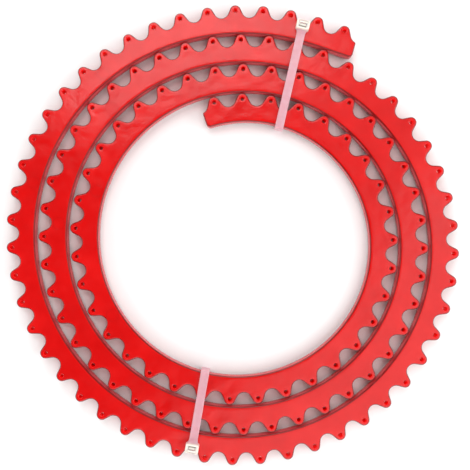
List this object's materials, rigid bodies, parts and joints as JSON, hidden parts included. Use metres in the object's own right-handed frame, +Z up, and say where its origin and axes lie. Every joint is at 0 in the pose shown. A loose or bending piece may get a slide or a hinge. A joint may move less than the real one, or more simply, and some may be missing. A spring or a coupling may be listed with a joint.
{
  "type": "flexible eyelet strip coil",
  "caption": "Red flexible plastic strip with a scalloped edge of small eyelets, coiled flat edgewise and held by two nylon cable ties whose locking pawls flex.",
  "frame": {"origin": "middle of the coil's outline, on the surface that it lies on", "axes": "+Z up, across the strip's thickness; the ties cross the coil roughly along Y"},
  "size_m": [0.2528, 0.257, 0.0118],
  "materials": {
    "strip_red": "glossy flexible moulded plastic, saturated red, faintly translucent",
    "tie_nylon": "natural milky nylon, semi-translucent, satin"
  },
  "bodies": {
    "coil": {"outer_length": "strip_red", "middle_length": "strip_red", "inner_length": "strip_red", "upper_tie_strap": "tie_nylon", "upper_tie_head": "tie_nylon", "lower_tie_strap": "tie_nylon", "lower_tie_head": "tie_nylon"},
    "upper_tie_pawl": {"upper_tie_pawl": "tie_nylon"},
    "lower_tie_pawl": {"lower_tie_pawl": "tie_nylon"}
  },
  "joints": [
    {"name": "upper_tie_pawl_flex", "type": "hinge", "parent": "coil", "child": "upper_tie_pawl", "pos_m": [0.03882, 0.1164, 0.00822], "axis": [0.974, -0.2264, 0], "range_deg": [0, 10], "stiffness_Nm_per_rad": 0.05},
    {"name": "lower_tie_pawl_flex", "type": "hinge", "parent": "coil", "child": "lower_tie_pawl", "pos_m": [-0.02267, -0.11799, 0.00822], "axis": [-0.9854, 0.1705, 0], "range_deg": [0, 10], "stiffness_Nm_per_rad": 0.05}
  ]
}
